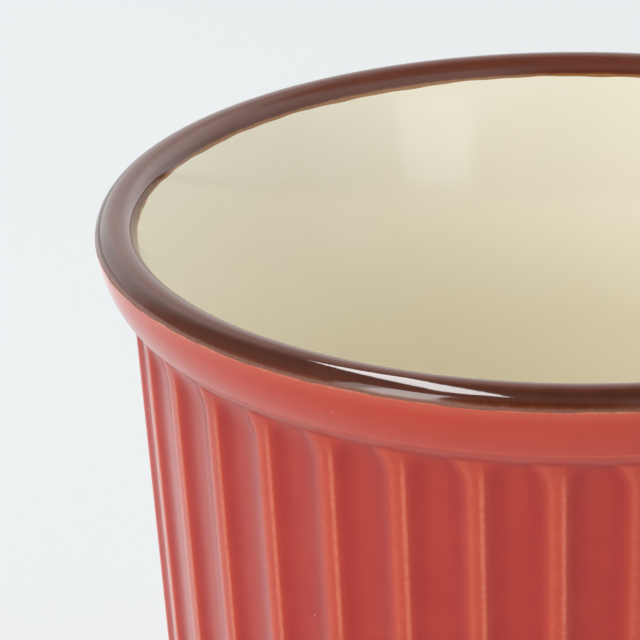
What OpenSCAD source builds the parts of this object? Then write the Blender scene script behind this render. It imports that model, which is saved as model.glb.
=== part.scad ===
// Handleless fluted cup of glazed stoneware.
// One fired body carries three coats: red outside, dark brown on the lip and cream inside.
// The origin is on the table at the middle of the foot, and +Z points out of the mouth.

/* [Cup] */
// Height from the table to the top of the lip
cup_h = 90; // [70:0.5:120]
// Diameter at the lip's widest line
rim_d = 84.5; // [70:0.5:100]
// Lean of the outer wall from upright, in degrees
wall_lean = 4.25; // [3:0.05:7]
// Thickness of each coat of glaze
glaze_t = 0.35; // [0.2:0.05:0.5]

/* [Lip and band] */
// Thickness of the rounded lip
lip_t = 3.6; // [2.8:0.02:4.4]
// Angle below level at which the round of the lip passes into the band, in degrees
lip_turn = 10; // [4:1:20]
// Radius of the curve that rounds the plain band under the lip
band_arc_r = 10.3; // [7:0.1:13]
// Height of the plain band below the lip's widest line
band_h = 4.5; // [3:0.1:5.5]
// Slope of the band's underside from level, in degrees
under_slope = 48; // [30:1:50]
// How far the brown coat runs down the inside, below the round of the lip
brown_run = 0.65; // [0.2:0.05:1.5]

/* [Flutes] */
// Number of flutes
flute_count = 36; // [28:1:44]
// Depth of a flute under the ridges beside it
flute_depth = 0.65; // [0.5:0.05:1.4]
// Part of a flute's pitch that stays as ridge
ridge_share = 0.2; // [0.12:0.005:0.4]
// How far the ridges stand back from the lip's widest line, at the band's lower edge
ridge_set_back = 3.04; // [1.6:0.02:3.6]

/* [Inside] */
// Lean of the inside just under the lip, in degrees
mouth_lean = 24; // [15:0.5:28]
// Radius of the long curve that brings the inside to the lean of the wall
mouth_arc_r = 70; // [50:1:90]
// Thickness of the clay floor, above the hollow under the foot
floor_t = 5; // [4:0.1:8]
// Radius of the corner between the floor and the wall inside
floor_corner_r = 10; // [6:0.5:14]

/* [Foot] */
// Height of the lower edge of the red coat above the table
foot_h = 3.2; // [2.6:0.1:5]
// Width of the bare foot ring
foot_w = 4; // [3:0.1:6]
// How far the foot ring stands back from the coat above it
foot_set_back = 0.6; // [0.3:0.05:1.2]
// Small bevel on both edges of the foot ring
foot_bevel = 0.5; // [0.3:0.05:0.8]
// Depth of the hollow under the foot
hollow_h = 2.4; // [1.6:0.1:3]
// Radius of the round heel between the wall and the foot
heel_r = 7; // [5:0.1:9]
// Angle below level at which the heel's curve ends at the foot, in degrees
heel_end = 65; // [55:1:75]

/* [Hidden] */
$fn = 96;

// Length by which one shape runs into the next, or a cut runs past what it cuts
overrun = 2;
// Number of straight steps in each curve of an outline
arc_steps = 12;

rim_r = rim_d / 2;
lip_r = lip_t / 2;
lip_mid_r = rim_r - lip_r;
lip_mid_z = cup_h - lip_r;

// The band's curve goes on smoothly from the round of the lip
lip_mid = [lip_mid_r, lip_mid_z];
band_mid = arc_point(lip_mid, lip_r - band_arc_r, -lip_turn);
edge_z = lip_mid_z - band_h;
band_end = asin((band_mid.y - edge_z) / band_arc_r);

// All ridges and flutes run towards one point far below the table
edge_ridge_r = rim_r - ridge_set_back;
apex_z = edge_z - edge_ridge_r / tan(wall_lean);
pitch = 360 / flute_count;
flute_half = pitch * (1 - ridge_share) / 2;
flute_half_w = edge_ridge_r * sin(flute_half);
flute_floor_r = edge_ridge_r - flute_depth;
flute_rise = edge_ridge_r * cos(flute_half) - flute_floor_r;
flute_r = (pow(flute_half_w, 2) + pow(flute_rise, 2)) / (2 * flute_rise);
flute_mid_r = flute_floor_r + flute_r;
flute_lean = atan(flute_mid_r / (edge_z - apex_z));
flute_reach = norm([flute_mid_r, edge_z - apex_z]);

// The heel's curve leaves the wall smoothly and ends at the lower edge of the red coat
heel_mid_z = foot_h + heel_r * sin(heel_end);
heel_mid_r = ridge_r(heel_mid_z) - heel_r / cos(wall_lean);
heel_foot = arc_point([heel_mid_r, heel_mid_z], heel_r - glaze_t, -heel_end);
foot_out_r = heel_foot.x - foot_set_back;
foot_in_r = foot_out_r - foot_w;

// The inside leaves the round of the lip at mouth_lean and bends to the lean of the wall
mouth_mid = arc_point(lip_mid, mouth_arc_r - lip_r, -mouth_lean);
mouth_top = 180 - mouth_lean;
mouth_end = 180 - wall_lean;
brown_end = mouth_top + brown_run / mouth_arc_r * 180 / PI;
floor_z = hollow_h + floor_t + glaze_t;
wall_start = arc_point(mouth_mid, mouth_arc_r, mouth_end);
corner_z = floor_z + floor_corner_r;
corner_r = wall_start.x - (wall_start.y - corner_z) * tan(wall_lean) - floor_corner_r / cos(wall_lean);

// Radius of the ridges at a height
function ridge_r(z) = (z - apex_z) * tan(wall_lean);

// Point on a circle, and the points of an arc from one angle to another
function arc_point(mid, r, a) = mid + r * [cos(a), sin(a)];
function arc(mid, r, from, to) =
    [for (i = [0 : arc_steps]) arc_point(mid, r, from + (to - from) * i / arc_steps)];

function reversed(points) = [for (i = [len(points) - 1 : -1 : 0]) points[i]];

// Stretches of the cup's outline, each at a depth under the finished surface
function heel_outline(depth) = arc([heel_mid_r, heel_mid_z], heel_r - depth, -heel_end, -wall_lean);
function wall_outline(depth) =
    concat(heel_outline(depth), [[edge_ridge_r - depth / cos(wall_lean), edge_z], [0, edge_z]]);
function band_outline(depth) =
    concat(
        arc(band_mid, band_arc_r - depth, -band_end, -lip_turn),
        [for (share = [1 / 2, 0]) arc_point(lip_mid, lip_r - depth, -lip_turn * share)]
    );
function lip_outline(depth) =
    concat(
        arc(lip_mid, lip_r - depth, 0, mouth_top),
        [arc_point(mouth_mid, mouth_arc_r - depth, brown_end)]
    );
function inside_outline(depth) =
    concat(
        arc(mouth_mid, mouth_arc_r - depth, brown_end, mouth_end),
        arc([corner_r, corner_z], floor_corner_r + depth, -wall_lean, -90),
        [[0, floor_z - depth]]
    );

// Round cutters for all flutes, at a depth under the finished surface
module flutes(depth) {
    from = -apex_z / cos(flute_lean);
    to = (edge_z + overrun - apex_z) / cos(flute_lean);
    for (i = [0 : flute_count - 1])
        rotate([0, 0, (i + 1 / 2) * pitch])
            translate([0, 0, apex_z])
                rotate([0, flute_lean, 0])
                    translate([0, 0, from])
                        cylinder(
                            h = to - from,
                            r1 = flute_r * from / flute_reach + depth,
                            r2 = flute_r * to / flute_reach + depth
                        );
}

// Solid wall with its flutes; base closes the outline under the heel
module fluted_wall(depth, base) {
    difference() {
        rotate_extrude() polygon(concat(base, wall_outline(depth)));
        flutes(depth);
    }
}

// Solid band over the tops of the flutes; its underside goes on as a cone into the wall
module band_crown(depth, top) {
    edge = band_outline(depth)[0];
    rotate_extrude()
        polygon(concat([[0, edge.y - edge.x * tan(under_slope)]], band_outline(depth), top));
}

// Outer form of the clay, from the heel to the lip, not yet hollowed
module clay_form() {
    lip = lip_outline(glaze_t);
    fluted_wall(glaze_t, [[0, heel_foot.y]]);
    band_crown(glaze_t, concat(lip, [[0, lip[len(lip) - 1].y]]));
}

// Space inside the clay, up through the mouth
module clay_inside() {
    inside = inside_outline(glaze_t);
    above_z = cup_h + overrun;
    rotate_extrude() polygon(concat([[0, above_z], [inside[0].x, above_z]], inside));
}

// Foot ring with the hollow under the floor
module clay_foot() {
    rotate_extrude()
        polygon([
            [0, hollow_h],
            [foot_in_r, hollow_h],
            [foot_in_r, foot_bevel],
            [foot_in_r + foot_bevel, 0],
            [foot_out_r - foot_bevel, 0],
            [foot_out_r, foot_bevel],
            [foot_out_r, heel_foot.y + overrun],
            [0, heel_foot.y + overrun]
        ]);
}

// Fired clay cup under the coats; only its foot ring and hollow are bare
module clay_body() {
    color([0.80, 0.72, 0.60])
        difference() {
            union() {
                clay_form();
                clay_foot();
            }
            clay_inside();
        }
}

// Red coat from the lip's widest line down over band and flutes to the foot
module red_outer_glaze() {
    color([0.66, 0.25, 0.21])
        difference() {
            union() {
                fluted_wall(0, [[0, heel_foot.y + overrun], heel_foot]);
                band_crown(0, [lip_mid, [0, edge_z]]);
            }
            clay_form();
        }
}

// Dark brown coat over the round of the lip
module brown_rim_glaze() {
    color([0.32, 0.18, 0.14])
        rotate_extrude() polygon(concat(lip_outline(0), reversed(lip_outline(glaze_t))));
}

// Cream coat that lines the inside
module cream_inner_glaze() {
    color([0.88, 0.84, 0.73])
        rotate_extrude() polygon(concat(inside_outline(0), reversed(inside_outline(glaze_t))));
}

clay_body();
red_outer_glaze();
brown_rim_glaze();
cream_inner_glaze();
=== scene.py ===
# %% [markdown]
# # A fluted cup under three glazes
# The cup is one fired clay body with three coats of glaze: red outside, dark brown on the lip and cream
# inside. The packed model gives every size, so this script only dresses it. It loads that model first,
# keeps its box, and then builds each layer again with softer edges and a glaze of its own.

# %% Load the measured cup
import math

import bmesh
import bpy
from mathutils import Matrix, Vector


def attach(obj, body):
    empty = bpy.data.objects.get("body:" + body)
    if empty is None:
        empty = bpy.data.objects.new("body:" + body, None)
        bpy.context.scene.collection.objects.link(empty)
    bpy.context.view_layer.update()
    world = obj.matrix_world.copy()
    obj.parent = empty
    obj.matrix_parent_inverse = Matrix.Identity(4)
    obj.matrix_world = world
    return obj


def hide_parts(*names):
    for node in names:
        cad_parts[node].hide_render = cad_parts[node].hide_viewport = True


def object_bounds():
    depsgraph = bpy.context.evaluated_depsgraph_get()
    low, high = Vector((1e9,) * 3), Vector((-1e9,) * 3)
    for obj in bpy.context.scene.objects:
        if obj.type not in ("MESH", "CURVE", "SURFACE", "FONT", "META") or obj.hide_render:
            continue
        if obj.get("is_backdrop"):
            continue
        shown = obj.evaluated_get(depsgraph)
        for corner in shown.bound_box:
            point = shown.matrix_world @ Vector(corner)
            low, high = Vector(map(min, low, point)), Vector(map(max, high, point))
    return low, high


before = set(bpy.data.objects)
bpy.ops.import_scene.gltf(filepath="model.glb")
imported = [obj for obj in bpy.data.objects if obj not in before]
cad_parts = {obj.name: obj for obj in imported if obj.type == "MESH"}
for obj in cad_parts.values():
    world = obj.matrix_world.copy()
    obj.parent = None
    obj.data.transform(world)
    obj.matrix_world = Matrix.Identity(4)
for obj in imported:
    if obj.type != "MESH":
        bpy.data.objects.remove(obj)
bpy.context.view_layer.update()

# %% [markdown]
# ## The camera
# A close-up with so little perspective comes from a long lens. The frame is square, so the lens follows
# from the width of the view alone. The camera looks down into the mouth, and a small roll levels the lip
# as in the photo.

# %% Camera
MM = 0.001
CAMERA_AT, LOOK_AT = (23.055, -487.078, 274.765), (-22.373, -5.541, 81.116)
CAMERA_ROLL = math.radians(-0.757)


def aim(thing, place, target):
    """Puts a camera or a lamp at a place in millimetres and turns it to a target."""
    thing.location = Vector(place) * MM
    thing.rotation_euler = (Vector(target) - Vector(place)).to_track_quat("-Z", "Y").to_euler()


scene = bpy.context.scene
lens = bpy.data.cameras.new("close_up")
lens.sensor_width = 36.0
lens.lens = 337.5
lens.clip_start = 0.01
lens.clip_end = 50.0
camera = bpy.data.objects.new("close_up", lens)
scene.collection.objects.link(camera)
aim(camera, CAMERA_AT, LOOK_AT)
roll = Matrix.Rotation(CAMERA_ROLL, 3, "Z")
camera.rotation_euler = (camera.rotation_euler.to_matrix() @ roll).to_euler()
scene.camera = camera
scene.view_settings.view_transform = "Standard"
print("view angle, in degrees:", round(math.degrees(lens.angle), 2))

# %% [markdown]
# ## The outline
# A potter turns the cup, so its outline is a handful of arcs and straight lines that run once round the
# axis. The sizes below are those of the measured cup, in millimetres. Each surface is asked for at a
# depth, so the same lines give the outside of a coat, its underside and the clay below it.

# %% Sizes of the outline
# Height of the cup, radius of its lip and thickness of each coat
CUP_H, RIM_R, COAT = 90.0, 42.25, 0.35
# Round of the lip, and how far below level it passes into the band
LIP_R, LIP_TURN = 1.8, math.radians(10)
# Height of the plain band, and radius of its curve
BAND_H, BAND_R = 4.5, 10.3
# Lean of the wall, and how far its ridges stand back from the lip
LEAN, SET_BACK = math.radians(4.25), 3.04
# Height of the red coat's lower edge, and the round heel that ends there
FOOT_Z, HEEL_R, HEEL_END = 3.2, 7.0, math.radians(65)
# Long curve of the inside under the lip, and how far the brown coat runs down it
MOUTH_R, MOUTH_LEAN, BROWN_RUN = 70.0, math.radians(24), 0.65
# Height of the floor inside, and radius of the corner round it
FLOOR_Z, CORNER_R = 7.75, 10.0


def along(mid, radius, turn):
    """Point on a circle of the outline, as (radius, height); the turn is counted from straight out."""
    return mid[0] + radius * math.cos(turn), mid[1] + radius * math.sin(turn)


def arc(mid, radius, start, end, steps):
    """Points on an arc of the outline, as (radius, height), from one turn to another."""
    turns = [start + (end - start) * i / steps for i in range(steps + 1)]
    return [along(mid, radius, turn) for turn in turns]


def ridge(z):
    """Radius of the leaning wall along the ridges."""
    return RIM_R - SET_BACK + (z - EDGE_Z) * math.tan(LEAN)


LIP_MID = (RIM_R - LIP_R, CUP_H - LIP_R)
BAND_MID = along(LIP_MID, LIP_R - BAND_R, -LIP_TURN)
EDGE_Z = LIP_MID[1] - BAND_H
EDGE_TURN = -math.asin((BAND_MID[1] - EDGE_Z) / BAND_R)
heel_z = FOOT_Z + HEEL_R * math.sin(HEEL_END)
HEEL_MID = (ridge(heel_z) - HEEL_R / math.cos(LEAN), heel_z)
MOUTH_MID = along(LIP_MID, MOUTH_R - LIP_R, -MOUTH_LEAN)
MOUTH_TOP = math.pi - MOUTH_LEAN
BROWN_END = MOUTH_TOP + BROWN_RUN / MOUTH_R
wall_r, wall_z = along(MOUTH_MID, MOUTH_R, math.pi - LEAN)
corner_z = FLOOR_Z + CORNER_R
CORNER_MID = (wall_r - (wall_z - corner_z) * math.tan(LEAN) - CORNER_R / math.cos(LEAN), corner_z)
print("wall radius at the table and under the band:", round(ridge(0), 2), round(ridge(EDGE_Z), 2))

# %% [markdown]
# ## The flutes
# Thirty-six channels run up the wall, and a narrow ridge stays between each two. In a mesh this could be
# 36 cutters, but glaze rounds every edge, so here each point of a turned wall is moved in or out by a
# formula. Near the top a channel gets shallower, and its right side draws in to the left, as where a tool
# leaves the clay.

# %% Where the tool leaves the clay
FLUTES = 36
PITCH = 2 * math.pi / FLUTES
# Part of a pitch that stays as ridge
RIDGE_SHARE = 0.2
# Heights between which a channel runs out, and how far its right side draws in
LEAVE_FROM, LEAVE_TO, BEND = 79.8, 82.4, 1.3


def ramp(value, low, high):
    """0 at low, 1 at high, a straight slope between them and no change beyond."""
    return min(max((value - low) / (high - low), 0), 1)


def leave(z):
    """How far the tool has left the clay at a height, from 0 in the plain wall to 1 under the band."""
    return ramp(z, LEAVE_FROM, LEAVE_TO) ** 2


def pull(share):
    """How much of the bend a point takes: all on the left edge of its ridge, none on the right edge."""
    from_left = share + RIDGE_SHARE / 2
    if from_left < 0:
        return max(1 + from_left / (0.5 - RIDGE_SHARE / 2), 0)
    return max(1 - from_left / RIDGE_SHARE, 0)


print("bend of a ridge's left edge under the band, in mm:", BEND * pull(-RIDGE_SHARE / 2) * leave(EDGE_Z))

# %% [markdown]
# ## The band
# The band under the lip stays plain, and its underside slants back to the wall. Molten glaze rounds such
# an edge. A bevel could do that, but a smooth minimum of two radii does it for a formula: where the two
# are close, it passes from one to the other in a small curve.

# %% Plain band and its underside
UNDER_SLOPE = math.tan(math.radians(48))
# Difference in radius at which the band's lower edge starts to round
BAND_EDGE = 0.09


def melt(a, b, width):
    """The smaller of two radii, rounded where they cross, and how near that crossing is, from 0 to 1."""
    near = max(width - abs(a - b), 0) / width
    return min(a, b) - width * near * near / 4, near


def band_radius(z, depth):
    """Radius of the plain band from the lip down, then of its underside, and how near its lower edge is."""
    edge_r, edge_z = along(BAND_MID, BAND_R - depth, EDGE_TURN)
    under = edge_r - (edge_z - z) * UNDER_SLOPE
    mid, radius = BAND_MID, BAND_R - depth
    if z > along(BAND_MID, radius, -LIP_TURN)[1]:
        mid, radius = LIP_MID, LIP_R - depth
    if abs(mid[1] - z) >= radius:
        return under, 0.0
    return melt(mid[0] + math.sqrt(radius ** 2 - (mid[1] - z) ** 2), under, BAND_EDGE)


print("radius at the band's lower edge:", round(band_radius(EDGE_Z, 0)[0], 2))

# %% [markdown]
# ## Thin glaze and a painted highlight on the ridges
# Molten glaze runs off a ridge and stays thin there, so the pale clay shows through. Each ridge has a
# bright line of thin glaze along its right edge, and a soft line along its left edge that is partly thin
# glaze and partly a painted highlight. They could be painted by hand, but a formula follows every ridge
# alike.

# %% Lines of thin glaze and painted highlight
# The soft left line is partly thin glaze, partly a painted highlight; the bright right line is thin glaze
# Middle and half width of each line, in ridge widths from the ridge's left edge, and its strength
LEFT_LINE, RIGHT_LINE = (0.2, 0.3, 0.32), (0.92, 0.22, 0.85)
# How thin the rest of a ridge is, and how far that reaches past its edges, in ridge widths
RIDGE_THIN, SPILL = 0.12, 0.1
# Height at which the right line has ended, and heights between which all lines fade into the heel
RIGHT_END, HEEL_FADE = 82.2, (6.6, 9.0)


def stripe(over, middle, half_width, strength):
    """How pale one line makes a ridge at a place across it: thin glaze, on the left line partly a painted
    highlight.
    """
    return strength * max(1 - ((over - middle) / half_width) ** 2, 0)


def thin_and_highlight(share, z):
    """How pale a ridge is at a share of the pitch from it, from 0 to 1: thin glaze, partly painted
    highlight on the left edge.
    """
    over = (share - round(share)) / RIDGE_SHARE + 0.5
    if not -SPILL < over < 1 + SPILL:
        return 0.0
    left = stripe(over, *LEFT_LINE)
    right = stripe(over, *RIGHT_LINE) * ramp(z, RIGHT_END, LEAVE_FROM)
    return max(left, right, RIDGE_THIN) * ramp(z, *HEEL_FADE)


print("thin glaze across a ridge:", [round(thin_and_highlight(share, 45), 2) for share in (-0.06, 0, 0.08)])

# %% [markdown]
# ## The whole outside
# The outside is the leaning wall with its round heel, less the channels, with the band over their tops.
# Each channel has a flat bottom and is steeper on its left. The smooth minimum melts a ridge into its
# channel, and with the signs turned it is a smooth maximum that melts both into the band.

# %% Shape of the fluted outside
# Point far below the table that all channels run towards
APEX_Z = EDGE_Z - (RIM_R - SET_BACK) / math.tan(LEAN)
# Depth of a channel, how flat its bottom is, and where across it is deepest, from -1 to 1
FLUTE_DEPTH, ROUNDNESS, DEEPEST = 0.65, 2.5, -0.15
# Part of that depth that is lost where the tool leaves, and how much more is lost on the left
LOSS_MIDDLE, LOSS_TILT = 0.75, 0.3
# Differences in radius at which a ridge melts into its channel, and both melt into the band
SHOULDER, CREASE = 0.16, 0.15
# Difference in radius within which the crease under the band is darkened: pooled glaze and painted shade
CREASE_POOL_AND_SHADE = 0.5
# Least painted shade on the band's underside, and the height in which that shade sets in
UNDERSIDE_SHADE, UNDERSIDE_H = 0.36, 0.288
# How pale the band's lower edge is drawn: partly thin glaze, partly a painted highlight
EDGE_THIN_AND_HIGHLIGHT = 0.4
# Half width of a channel's middle, how much less it is darkened there, and how much less again near the top
CHANNEL_MIDDLE, CLEAR, CLEAR_TOP = 0.5, 0.22, 0.25
TOP_FADE = (74, 80)


def outside(share, z, depth):
    """Radius at a share of the pitch, then paleness (thin glaze, partly painted highlight), pooling, and
    crease darkening (pooled glaze and painted shade).
    """
    side = ridge(z) - depth / math.cos(LEAN)
    wall = side
    if z < HEEL_MID[1] - (HEEL_R - depth) * math.sin(LEAN):
        wall = HEEL_MID[0] + math.sqrt(max((HEEL_R - depth) ** 2 - (HEEL_MID[1] - z) ** 2, 0))
    across = ((share % 1) - 0.5) / (0.5 - RIDGE_SHARE / 2)
    left_over = 1 - leave(z) * (LOSS_MIDDLE - LOSS_TILT * min(max(across, -1), 1))
    hollow = FLUTE_DEPTH * left_over * (z - APEX_Z) / (EDGE_Z - APEX_Z)
    from_deepest = abs(across - DEEPEST) / (1 - DEEPEST if across > DEEPEST else 1 + DEEPEST)
    channel = side - hollow * (1 - from_deepest ** ROUNDNESS)
    fluted = melt(wall, channel, SHOULDER)[0]
    band, on_edge = band_radius(z, depth)
    joined = -melt(-fluted, -band, CREASE)[0]
    # Darkening of the crease under the band: partly pooled glaze, partly painted shade
    crease = max(1 - abs(fluted - band) / CREASE_POOL_AND_SHADE, 0)
    if band > fluted:
        # Painted shade on the band's underside
        shade = UNDERSIDE_SHADE * ramp(EDGE_Z - z, 0, UNDERSIDE_H)
        # The band's lower edge: thin glaze and a painted highlight
        return joined, EDGE_THIN_AND_HIGHLIGHT * on_edge, 0.0, max(crease, shade)
    middle = max(1 - (across / CHANNEL_MIDDLE) ** 2, 0)
    clear = (CLEAR + CLEAR_TOP * ramp(z, *TOP_FADE)) * middle
    pool = ramp(wall - fluted, 0, FLUTE_DEPTH / 2) * (1 - clear)
    return joined, thin_and_highlight(share, z) * (1 - crease), pool, crease


for share in (0, 0.1, 0.5):
    print("radius at half height,", share, "of a pitch from a ridge:", round(outside(share, 45, 0)[0], 2))

# %% [markdown]
# ## Turning a profile into a piece
# Blender's spin does what a potter's wheel does: a few vertices and edges in one plane turn round the
# axis. One spin sweeps a slice as wide as a flute, and a second spin copies that slice all round, which is
# much quicker than one long sweep. Doubles at the joins and on the axis are then merged, so the skin is
# closed. The normals are set outwards after that, and only edges that are really sharp are left sharp.

# %% Helpers for turned pieces
# Steps in one pitch, and the distance at which doubles merge, in metres
STEPS, MERGE = 24, 1e-7
# Angle between two faces from which the edge between them stays sharp
SHARP = math.radians(55)


def turned(profile, closed):
    """Spins a profile of (radius, height, depth) once round the cup; depth is kept for each point."""
    shape = bmesh.new()
    layer = shape.verts.layers.float.new("depth")
    ring = []
    for radius, height, depth in profile:
        ring.append(shape.verts.new((0, -radius * MM, height * MM)))
        ring[-1][layer] = depth
    pairs = list(zip(ring, ring[1:])) + ([(ring[-1], ring[0])] if closed else [])
    lines = [shape.edges.new(pair) for pair in pairs]
    bmesh.ops.spin(shape, geom=ring + lines, cent=(0, 0, 0), axis=(0, 0, 1), angle=PITCH, steps=STEPS)
    slice_of_cup = shape.verts[:] + shape.edges[:] + shape.faces[:]
    bmesh.ops.spin(shape, geom=slice_of_cup, cent=(0, 0, 0), axis=(0, 0, 1), angle=2 * math.pi - PITCH,
                   steps=FLUTES - 1, use_duplicate=True)
    bmesh.ops.remove_doubles(shape, verts=shape.verts, dist=MERGE)
    bmesh.ops.recalc_face_normals(shape, faces=shape.faces)
    return shape


def finished(shape, name, node):
    """Makes an object of a shape, lets it ride on the cup and stand for its node."""
    for face in shape.faces:
        face.smooth = True
    for line in shape.edges:
        line.smooth = line.calc_face_angle(0) < SHARP
    mesh = bpy.data.meshes.new(name)
    shape.to_mesh(mesh)
    shape.free()
    piece = bpy.data.objects.new(name, mesh)
    scene.collection.objects.link(piece)
    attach(piece, "root")
    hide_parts(node)
    print(name, "has", sum(len(face.vertices) - 2 for face in mesh.polygons), "triangles")
    return piece


def at_depth(points, depth):
    """Adds the same depth to each point of a profile."""
    return [(radius, height, depth) for radius, height in points]


print("points in one ring round the cup:", STEPS * FLUTES)

# %% [markdown]
# ## The red coat
# Red glaze covers the outside from the lip's widest line to the heel. Rows of points lie close together
# where the channels end under the band, and far apart on the plain wall. Within each pitch the points
# crowd towards the ridge, because that is where the light changes fastest. The coat's thin and pooled
# places, its painted shade in the crease and its painted highlight on some edges are kept as attributes.

# %% Rows of the red coat
# Depth that marks a point which stays where the profile puts it
FREE = -1.0
# Height from which the coat's upper edge wanders
WAVE_LOW = 87.0
# Height above the heel at which the wall's rows end, and about how far apart those rows are
HEEL_GAP, WALL_STEP = 1.0, 8.0
# How much further the middle of the coat's lower edge reaches
EDGE_ROLL = math.radians(1.5)


def rows(stretches):
    """Heights from the top down: each stretch goes to a height in steps of about a size."""
    heights, here = [LIP_MID[1]], LIP_MID[1]
    for end, size in stretches:
        count = max(round((here - end) / size), 1)
        heights += [here + (end - here) * (i + 1) / count for i in range(count)]
        here = end
    return heights


def outside_rows(stretches, depth, heel_steps):
    """Profile of the outside from the lip's widest line to the coat's lower edge."""
    heel = arc(HEEL_MID, HEEL_R - depth, -LEAN, -HEEL_END, heel_steps)
    heights = rows(stretches + [(heel[0][1] + HEEL_GAP, WALL_STEP)])
    return at_depth([(outside(0, z, depth)[0], z) for z in heights] + heel, depth)


fine_rows = [(WAVE_LOW, 0.2), (EDGE_Z + 0.25, 0.45), (EDGE_Z - 0.25, 0.05),
             (EDGE_Z - 0.9, 0.13), (EDGE_Z - 2.1, 0.08), (EDGE_Z - 4.5, 0.25)]
plain_rows = [(EDGE_Z + 0.5, 1.0), (EDGE_Z - 2.4, 0.29), (EDGE_Z - 4.5, 0.7)]
lower_edge = [along(HEEL_MID, HEEL_R - COAT / 2, -HEEL_END - EDGE_ROLL)]
red_profile = outside_rows(fine_rows, 0.0, heel_steps=14) + at_depth(lower_edge, FREE)
red_profile += outside_rows(plain_rows, COAT, heel_steps=6)[::-1]
print("points in the red coat's profile:", len(red_profile))

# %% Flute a turned shape
# How strongly the points of a pitch crowd towards its ridge
CROWD = 0.09
# Mean height of the line where brown meets red, over the lip's widest line
LIP_LIFT = 0.1
# Waves of that line: height, number round the cup, and start in radians
LIP_WAVES = [(0.05, 5, 0.7), (0.04, 13, 2.1), (0.035, 37, 0.0), (0.025, 83, 1.3)]


def waves(turn, parts):
    """Height of a sum of waves at a turn round the cup, in millimetres."""
    return sum(size * math.sin(count * turn + start) for size, count, start in parts)


def lip_wave(turn):
    """Height of the line where brown meets red over the lip's widest line, in millimetres."""
    return LIP_LIFT + waves(turn, LIP_WAVES)


def flute(shape):
    """Moves the points of a turned shape to the fluted outside, each at its own depth."""
    layers = shape.verts.layers.float
    depth_of = layers["depth"]
    # The crease layer holds painted shade with pooled glaze; the thin layer holds thin glaze with painted
    # edge highlight
    thin_of, pool_of, crease_of = layers.new("thin"), layers.new("pool"), layers.new("crease")
    for point in shape.verts:
        depth, z = point[depth_of], point.co.z / MM
        if depth < 0:
            continue
        pitches = (math.atan2(point.co.y, point.co.x) + math.pi / 2) / PITCH
        share = pitches - round(pitches)
        share -= CROWD * math.sin(2 * math.pi * share)
        radius, point[thin_of], point[pool_of], point[crease_of] = outside(share, z, depth)
        turn = (round(pitches) + share) * PITCH - math.pi / 2 - BEND * pull(share) * leave(z) / radius
        z += lip_wave(turn) * ramp(z, WAVE_LOW, LIP_MID[1])
        point.co = Vector((radius * math.cos(turn), radius * math.sin(turn), z)) * MM


red_shape = turned(red_profile, closed=True)
flute(red_shape)
red_coat = finished(red_shape, "red_coat", "red_outer_glaze")

# %% [markdown]
# ## The brown lip
# Dark brown glaze wraps the round lip and runs a little way down the inside. Its two edges wander, because
# glaze is brushed or dipped and not cut. The wander is the same formula on both sides of an edge, so no
# gap opens.

# %% Brown coat
# Height at which the wander of the outer edge has ended, and how far up and down the inner one is felt
WAVE_HIGH, WAVE_REACH = 89.4, 1.2
# Waves of the line where brown meets cream, as for the lip
MOUTH_WAVES = [(0.05, 4, 1.9), (0.04, 11, 0.3), (0.03, 29, 2.6), (0.02, 67, 0.0)]
# Points nearer to the axis are on the floor, where nothing wanders
STILL_R = 20.0


def wander(shape):
    """Lets the lower edge of the lip coat and the upper edge of the lining wander along the surface."""
    brown_z = along(MOUTH_MID, MOUTH_R, BROWN_END)[1]
    for point in shape.verts:
        radius, z = math.hypot(point.co.x, point.co.y) / MM, point.co.z / MM
        if radius < STILL_R:
            continue
        turn = math.atan2(point.co.y, point.co.x)
        if radius > LIP_MID[0]:
            point.co.z += lip_wave(turn) * ramp(z, WAVE_HIGH, LIP_MID[1]) * MM
            continue
        step = waves(turn, MOUTH_WAVES) * (1 - ramp(abs(z - brown_z), 0, WAVE_REACH)) * MM
        point.co.z += step * math.cos(MOUTH_LEAN)
        scale = 1 + step * math.sin(MOUTH_LEAN) / (radius * MM)
        point.co.x *= scale
        point.co.y *= scale


def lip_rows(depth, steps):
    """Profile of the lip from its widest line over the top to the brown coat's end inside."""
    lip = arc(LIP_MID, LIP_R - depth, 0, MOUTH_TOP, steps)
    run = arc(MOUTH_MID, MOUTH_R - depth, MOUTH_TOP, BROWN_END, 3)
    return at_depth(lip + run[1:], depth)


brown_shape = turned(lip_rows(0.0, steps=28) + lip_rows(COAT, steps=12)[::-1], closed=True)
wander(brown_shape)
brown_coat = finished(brown_shape, "brown_lip", "brown_rim_glaze")

# %% [markdown]
# ## The cream lining
# The lining opens in a long curve from the wall to the lip, and meets the floor in a round corner that a
# spoon can follow. It is one profile from the brown edge to the axis, with its own underside.

# %% Cream coat
# Rings of the floor, as shares of the radius at which its corner starts
FLOOR_RINGS = (0.66, 0.33, 0)


def inside_rows(depth, mouth_steps, wall_steps, corner_steps):
    """Profile of the inside from the brown coat's end to the middle of the floor."""
    mouth = arc(MOUTH_MID, MOUTH_R - depth, BROWN_END, math.pi - LEAN, mouth_steps)
    corner = arc(CORNER_MID, CORNER_R + depth, -LEAN, -math.pi / 2, corner_steps)
    (top_r, top_z), (low_r, low_z) = mouth[-1], corner[0]
    shares = [(i + 1) / (wall_steps + 1) for i in range(wall_steps)]
    wall = [(top_r + (low_r - top_r) * s, top_z + (low_z - top_z) * s) for s in shares]
    floor = [(corner[-1][0] * s, corner[-1][1]) for s in FLOOR_RINGS]
    return at_depth(mouth + wall + corner + floor, depth)


cream_face = inside_rows(0.0, mouth_steps=24, wall_steps=4, corner_steps=14)
cream_back = inside_rows(COAT, mouth_steps=8, wall_steps=2, corner_steps=6)
cream_shape = turned(cream_face[::-1] + cream_back, closed=False)
wander(cream_shape)
cream_coat = finished(cream_shape, "cream_lining", "cream_inner_glaze")

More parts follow.
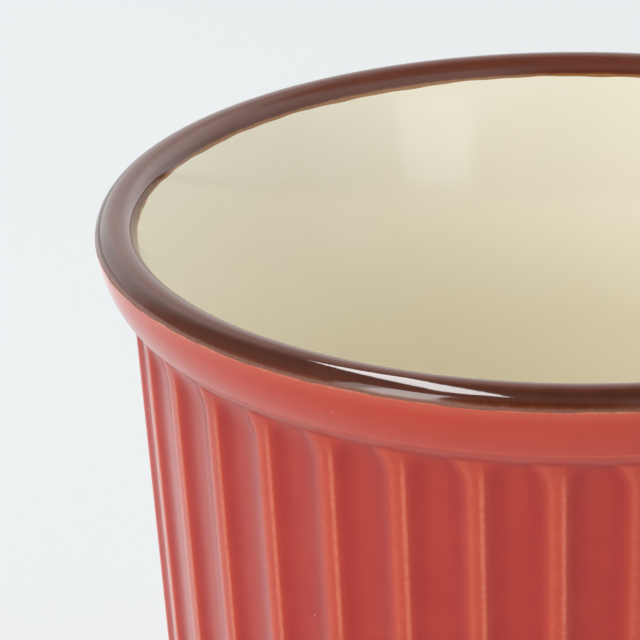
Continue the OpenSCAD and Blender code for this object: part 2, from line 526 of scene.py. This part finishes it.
# %% [markdown]
# ## The clay body
# Almost all of the clay is under glaze. Only the foot ring and the shallow hollow below the floor stay
# bare, because glaze on a foot would stick to the kiln shelf. The body follows the same fluted formula one
# coat deeper, and a wheel-turned foot with soft edges closes it below.

# %% Clay body
# Depth of the clay, a hair more than a coat so that the two never share a place
UNDER = COAT + 0.01
# Height of the hollow under the floor, and the round of its corner
HOLLOW_Z, HOLLOW_ROUND = 2.4, 0.8
# Width of the foot ring, how far it stands back from the heel, and the round of its edges
FOOT_W, FOOT_BACK, FOOT_ROUND = 4.0, 0.6, 0.6
# Top of the foot's upright side, and the small cove that leads from it to the heel
SIDE_Z, COVE_R, COVE_Z, COVE_END = 2.2, 0.49, 3.05, math.radians(100)

foot_out = along(HEEL_MID, HEEL_R - COAT, -HEEL_END)[0] - FOOT_BACK
foot_in = foot_out - FOOT_W
foot = [(0, HOLLOW_Z), (foot_in / 2, HOLLOW_Z)]
foot += arc((foot_in - HOLLOW_ROUND, HOLLOW_Z - HOLLOW_ROUND), HOLLOW_ROUND, math.pi / 2, 0, 5)
foot += arc((foot_in + FOOT_ROUND, FOOT_ROUND), FOOT_ROUND, math.pi, 1.5 * math.pi, 5)
foot += arc((foot_out - FOOT_ROUND, FOOT_ROUND), FOOT_ROUND, -math.pi / 2, 0, 5)
foot += [(foot_out, SIDE_Z)] + arc((foot_out + COVE_R, COVE_Z), COVE_R, math.pi, COVE_END, 4)
clay_inside = inside_rows(UNDER, mouth_steps=8, wall_steps=2, corner_steps=6)
clay_profile = at_depth(foot, FREE) + outside_rows(plain_rows, UNDER, heel_steps=10)[::-1]
clay_profile += [(r, z, FREE) for r, z, _ in lip_rows(UNDER, steps=12)[1:] + clay_inside[1:]]
clay_shape = turned(clay_profile, closed=False)
flute(clay_shape)
clay = finished(clay_shape, "clay_cup", "clay_body")

# %% [markdown]
# ## Writing a glaze as arithmetic
# A glaze changes with its own thickness, and that is easier to read as sums than as boxes and wires. This
# small class holds one socket: plus, minus and times on it add Math nodes, and one method makes any other
# node.

# %% A socket that can be calculated with
class Wire:
    """One output socket of a material, on which sums can be written."""

    def __init__(self, socket):
        self.socket = socket

    def node(self, kind, settings, inputs, out=0):
        """Makes a node in the same material: its settings first, then its values and links."""
        tree = self.socket.id_data
        made = tree.nodes.new(kind)
        for name, value in settings.items():
            setattr(made, name, value)
        for name, value in inputs.items():
            if isinstance(value, Wire):
                tree.links.new(value.socket, made.inputs[name])
            else:
                made.inputs[name].default_value = value
        return Wire(made.outputs[out])

    def math(self, operation, a, b=0.0):
        return self.node("ShaderNodeMath", {"operation": operation}, {0: a, 1: b})

    def __add__(self, other):
        return self.math("ADD", self, other)

    def __sub__(self, other):
        return self.math("SUBTRACT", self, other)

    def __rsub__(self, other):
        return self.math("SUBTRACT", other, self)

    def __mul__(self, other):
        return self.math("MULTIPLY", self, other)

    __radd__ = __add__
    __rmul__ = __mul__

    def between(self, low, high):
        """0 up to low, 1 from high on, and a soft step between them."""
        return self.node("ShaderNodeMapRange", {"interpolation_type": "SMOOTHSTEP"},
                         {"Value": self, "From Min": low, "From Max": high})

    def mix(self, first, second):
        """Colour that goes from the first to the second as this socket goes from 0 to 1."""
        return self.node("ShaderNodeMix", {"data_type": "RGBA"}, {0: self, 6: first, 7: second}, out=2)

    def noise(self, scale, detail=2.0, roughness=0.5):
        """Cloudy pattern on this place; scale is in lumps a metre."""
        return self.node("ShaderNodeTexNoise", {}, {"Vector": self, "Scale": scale, "Detail": detail,
                                                    "Roughness": roughness})

    def part(self, index):
        """One coordinate of this place: 0 is X, 1 is Y and 2 is Z."""
        return self.node("ShaderNodeSeparateXYZ", {}, {0: self}, out=index)

    def from_axis(self):
        """Distance of this place from the cup's axis."""
        flat = self.node("ShaderNodeVectorMath", {"operation": "MULTIPLY"}, {0: self, 1: (1, 1, 0)})
        return self.node("ShaderNodeVectorMath", {"operation": "LENGTH"}, {0: flat}, out=1)

    def bump(self, strength, distance=0.0002):
        """Normal of a surface that this socket raises; distance is in metres."""
        return self.node("ShaderNodeBump", {}, {"Height": self, "Strength": strength, "Distance": distance})


print("a socket can make:", ", ".join(name for name in vars(Wire) if not name.startswith("_")))

# %% [markdown]
# ## Starting a glaze
# Every glaze starts from the same shader. It is glass, so how much it mirrors follows from how strongly it
# bends light, and a little sheen stands for the haze of tiny bubbles in it. Patterns follow the place on
# the cup, so they need no unwrapping.

# %% A shader for one piece
GLASS_BENDING, HAZE_SPREAD = 1.6, 0.35


def rgb(red, green, blue):
    """A colour for a socket: linear red, green and blue, fully opaque."""
    return (red, green, blue, 1.0)


def new_glaze(name, piece, bending=GLASS_BENDING, haze=0.0):
    """A new material on a piece: the place that its patterns follow, and a way to feed its shader."""
    material = bpy.data.materials.new(name)
    material.use_nodes = True
    tree = material.node_tree
    shader = tree.nodes["Principled BSDF"]
    shader.inputs["IOR"].default_value = bending
    shader.inputs["Sheen Weight"].default_value = haze
    shader.inputs["Sheen Roughness"].default_value = HAZE_SPREAD
    place = Wire(tree.nodes.new("ShaderNodeTexCoord").outputs["Object"])
    piece.data.materials.append(material)

    def feed(wire, socket):
        tree.links.new(wire.socket, shader.inputs[socket])

    print("material", name, "on", piece.name)
    return place, feed


mirrored = ((GLASS_BENDING - 1) / (GLASS_BENDING + 1)) ** 2
print("light that a glaze mirrors when seen straight on:", round(mirrored, 3))

# %% [markdown]
# ## Red glaze
# Red glaze is glass over clay, so it is even and shiny. It runs off the ridges and edges as it melts,
# where it turns lighter and a little orange, and gathers in the channels, where it is deepest. The pale
# line on each ridge's left edge and on the band's lower edge is partly a painted highlight, and the crease
# under the band is darkened partly by pooled glaze and partly by painted shade. A fine mottle and a few
# pinholes keep it from looking like plastic.

# %% Material of the red coat
place, feed = new_glaze("red_glaze", red_coat, bending=1.53, haze=0.35)
thin, pool, crease = (place.node("ShaderNodeAttribute", {"attribute_name": name}, {}, out=2)
                      for name in ("thin", "pool", "crease"))
height = place.part(2)
cloud = place.noise(260, 3.0)
grain = place.noise(2600, 2.0)
# Deeper red where the glaze pools, in soft clouds
colour = (0.75 * pool + 0.4 * cloud).mix(rgb(0.56, 0.043, 0.013), rgb(0.4, 0.01, 0.003))
# Mottled lines of thin glaze on ridges and on the band's lower edge, with a painted highlight in the soft
# left ridge line and the edge line
colour = (thin * (0.2 + 1.3 * grain)).mix(colour, rgb(0.68, 0.17, 0.09))
# Painted shade in the crease under the band and on the band's underside, in the crease partly darker pooled
# glaze
colour = (0.38 * crease.between(0.1, 0.75)).mix(colour, rgb(0.25, 0.012, 0.01))
# Pale, broken line where the red meets the brown lip
meet = 0.14 * height.between(0.0869, 0.0883)
meet = meet + 0.8 * (height + 0.0003 * grain).between(0.0882, 0.0886) * place.noise(2200)
colour = meet.mix(colour, rgb(0.68, 0.32, 0.2))
# A few pinholes, in patches
pinhole = place.node("ShaderNodeTexVoronoi", {"feature": "F1"}, {"Vector": place, "Scale": 300}, out=0)
speck = (1 - pinhole.between(0.025, 0.05)) * place.noise(90).between(0.5, 0.56)
colour = (0.4 * speck).mix(colour, rgb(0.7, 0.3, 0.22))
feed(colour, "Base Color")
feed(0.13 + 0.08 * grain, "Roughness")
feed((0.6 * cloud + 0.25 * grain - 0.5 * speck).bump(0.25), "Normal")

# %% [markdown]
# ## Brown glaze
# The lip's glaze is nearly black-brown and thick. Where it thins over the red and over the cream it breaks
# into a tan fringe, in small uneven patches.

# %% Material of the brown lip
place, feed = new_glaze("brown_glaze", brown_coat)
height, radius = place.part(2), place.from_axis()
cloud = place.noise(420, 3.0)
grain = place.noise(1900, 3.0, 0.6)
colour = cloud.between(0.3, 0.75).mix(rgb(0.058, 0.013, 0.005), rgb(0.072, 0.018, 0.008))
# Warmer over the top of the lip and inside it
over = 1 - radius.between(0.0406, 0.0417)
colour = (over * (0.6 + 0.4 * cloud)).mix(colour, rgb(0.135, 0.034, 0.017))
# Red shows through low on the outside
outer = radius.between(0.0414, 0.0418)
glow = outer * (1 - height.between(0.0887, 0.0897))
colour = (0.8 * glow).mix(colour, rgb(0.1, 0.02, 0.007))
# Tan fringe along the outer edge, then along the inner edge
fringe = outer * (1 - (height + 0.0006 * grain).between(0.0885, 0.0893))
colour = (fringe * (0.3 + 1.2 * grain)).mix(colour, rgb(0.25, 0.075, 0.034))
inner = 1 - (radius + 0.0001 * grain).between(0.03864, 0.03876)
colour = (0.8 * inner).mix(colour, rgb(0.42, 0.2, 0.075))
feed(colour, "Base Color")
feed(0.05 + 0.04 * grain + 0.5 * fringe * fringe, "Roughness")
feed((0.7 * cloud + 0.05 * grain).bump(0.06), "Normal")

# %% [markdown]
# ## Cream glaze
# The lining is a warm cream with a smooth, wet shine. Towards the floor it is painted a touch darker and
# yellower, as painted shade warmed by light bounced off the cream.

# %% Material of the cream lining
place, feed = new_glaze("cream_glaze", cream_coat)
cloud = place.noise(120, 3.0)
grain = place.noise(1500, 2.0)
# Painted shade: darker and yellower towards the floor
deep = 1 - place.part(2).between(0.01, 0.085)
colour = (0.6 * deep + 0.4 * cloud).mix(rgb(0.88, 0.845, 0.72), rgb(0.885, 0.79, 0.575))
feed(colour, "Base Color")
feed(0.09 + 0.05 * grain, "Roughness")
feed((0.8 * cloud + 0.1 * grain).bump(0.12), "Normal")

# %% [markdown]
# ## Bare clay
# The foot is dry fired clay: buff, rough and full of fine sand, with the rings that the turning tool left.

# %% Material of the clay
place, feed = new_glaze("bare_clay", clay)
cloud = place.noise(160, 4.0)
sand = place.noise(5200, 2.0)
dark = place.noise(1300, 1.0).between(0.66, 0.72)
ring = place.math("SINE", place.from_axis() * 4200 + 2.5 * cloud)
colour = cloud.between(0.3, 0.7).mix(rgb(0.56, 0.44, 0.31), rgb(0.66, 0.54, 0.4))
colour = (0.6 * dark).mix(colour, rgb(0.3, 0.2, 0.13))
feed(colour, "Base Color")
feed(0.72 + 0.2 * sand, "Roughness")
feed((0.35 * ring + 0.8 * sand).bump(0.5), "Normal")

# %% [markdown]
# ## Floor and light
# The cup stands on a plain pale table in a quiet studio. A long softbox hangs above its left side and draws
# the crisp line on the lip. Two tall panels stand in front on the left, and a weak one on the right. The
# room is bright behind the cup and dim on the side that it is seen from.

# %% Floor
# Half the table's side, in metres
TABLE_HALF = 6.0

floor_shape = bmesh.new()
bmesh.ops.create_grid(floor_shape, x_segments=1, y_segments=1, size=TABLE_HALF)
floor_mesh = bpy.data.meshes.new("table")
floor_shape.to_mesh(floor_mesh)
floor_shape.free()
table = bpy.data.objects.new("table", floor_mesh)
scene.collection.objects.link(table)
table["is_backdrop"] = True
pale = bpy.data.materials.new("pale_table")
pale.use_nodes = True
paint = pale.node_tree.nodes["Principled BSDF"]
paint.inputs["Base Color"].default_value = rgb(0.73, 0.748, 0.753)
paint.inputs["Roughness"].default_value = 0.9
paint.inputs["Specular IOR Level"].default_value = 0.0
table.data.materials.append(pale)
print("table is", 2 * TABLE_HALF, "m wide, so it fills every view")

# %% Lamps
def panel(name, place, target, width, height, brightness):
    """A soft panel of light; brightness is that of its face, where 1 is white."""
    lamp = bpy.data.lights.new(name, "AREA")
    lamp.shape = "RECTANGLE"
    lamp.size, lamp.size_y = width, height
    lamp.energy = brightness * math.pi * width * height
    rig = bpy.data.objects.new(name, lamp)
    scene.collection.objects.link(rig)
    aim(rig, place, target)
    rig.visible_camera = False
    print(name, "gives", round(lamp.energy, 2), "W")
    return rig


above = panel("softbox_above", (-750, -340, 2088), (-750, -340, 0), 0.47, 2.16, 11.4)
above.rotation_euler = (0, 0, math.radians(3))
panel("panel_front_left", (-1400, -1935, 790), (0, 0, 790), 0.7, 1.56, 5.9)
panel("panel_far_left", (-1790, -1580, 790), (0, 0, 790), 0.4, 1.56, 2.2)
panel("panel_front_right", (1670, -1730, 800), (0, 0, 88), 0.88, 0.66, 1.0)

# %% World
world = bpy.data.worlds.new("bright_room")
scene.world = world
world.use_nodes = True
room = world.node_tree.nodes["Background"]
direction = Wire(world.node_tree.nodes.new("ShaderNodeTexCoord").outputs["Generated"])
across, ahead, above_us = (direction.part(i) for i in range(3))
seen_from = (0 - ahead).between(0.78, 0.88)
top, high = above_us.between(0.9, 0.96), above_us.between(0.65, 0.85)
# Even light, weaker straight above and on the side that the cup is seen from
level = 0.27 * (1 - 0.5 * top) * (1 - 0.9 * seen_from)
# Wall behind the cup, and its brightest part
level = level + 0.5 * ahead.between(0.25, 0.75) * (1 - above_us.between(0.75, 0.95))
level = level + 0.32 * ahead.between(0.78, 0.9)
# Right side, brighter towards the back
level = level + (0.14 + 0.32 * (ahead + 0.1).between(0, 0.3)) * across.between(0.05, 0.35) * (1 - high)
# Left corner at the back, then the upper part of the right side
level = level + 0.5 * ahead.between(0.3, 0.7) * (0 - across).between(0.2, 0.5)
level = level + 0.5 * above_us.between(0.15, 0.4) * across.between(0.1, 0.5) * (1 - high)
world.node_tree.links.new(level.socket, room.inputs["Strength"])
room.inputs["Color"].default_value = rgb(0.97, 0.99, 1.0)
print("nodes in the room's light:", len(world.node_tree.nodes))

# %% [markdown]
# ## Sizes for the record
# The dressed cup is built to stay inside the measured cup's box; its size is printed in millimetres.

# %% Size of the dressed cup
low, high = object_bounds()
print("dressed cup, in mm:", [round(1000 * side, 2) for side in high - low])
